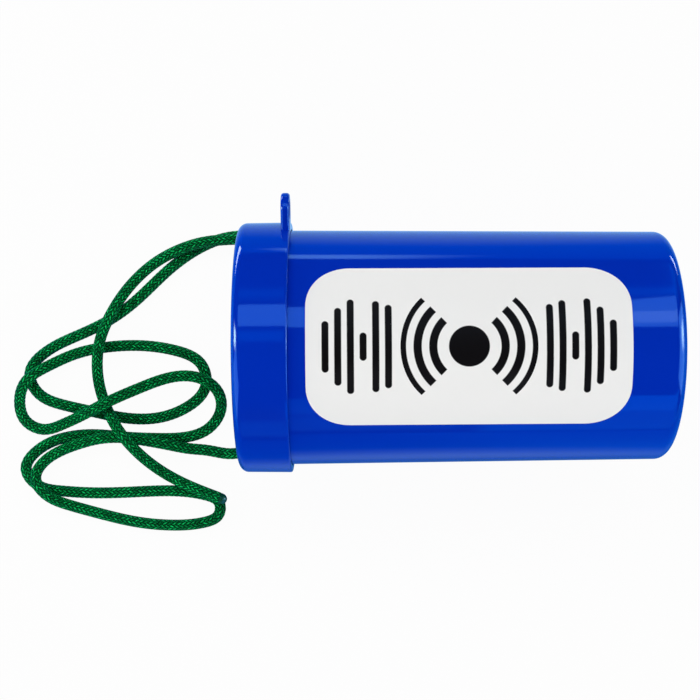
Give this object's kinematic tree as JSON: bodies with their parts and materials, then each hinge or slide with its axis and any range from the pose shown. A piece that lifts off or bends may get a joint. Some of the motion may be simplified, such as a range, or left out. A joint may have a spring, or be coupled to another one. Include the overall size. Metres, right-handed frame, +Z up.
{
  "type": "mouth-blown air horn",
  "caption": "Mouth-blown membrane air horn: tapered casing with an inner pipe, film and push-on cap, oval blow nozzle underneath, and a lanyard in loose loops.",
  "frame": {"origin": "on the surface the horn lies on, under the middle of the horn's box without the lanyard", "axes": "+X from the cap to the outlet along the horn's axis, +Y to the side of the visible eyelet, +Z up, away from the mouthpiece"},
  "size_m": [0.1974, 0.1013, 0.0727],
  "materials": {
    "blue_plastic": "glossy moulded plastic",
    "black_plastic": "satin moulded plastic",
    "white_plastic": "satin moulded plastic",
    "grey_rubber": "matte soft rubber",
    "clear_film": "thin clear film",
    "white_vinyl": "printed vinyl sticker",
    "green_cord": "round braided polypropylene cord",
    "melted_cord": "melted cord end"
  },
  "bodies": {
    "horn": {"body_shell": "blue_plastic", "horn_pipe": "black_plastic", "pipe_centring_ring": "black_plastic", "outlet_seal_ring": "grey_rubber", "diaphragm": "clear_film", "diaphragm_clamp_ring": "white_plastic", "mouthpiece": "blue_plastic", "mouthpiece_gasket": "grey_rubber", "label_sticker": "white_vinyl"},
    "cap_with_lanyard": {"cap": "blue_plastic", "cap_gasket": "grey_rubber", "lanyard_cord": "green_cord", "lanyard_stopper_knot": "green_cord", "lanyard_end_seal": "melted_cord"}
  },
  "joints": [
    {"name": "cap_pull", "type": "slide", "parent": "horn", "child": "cap_with_lanyard", "axis": [-1, 0, 0], "range_m": [0, 0.02]}
  ]
}
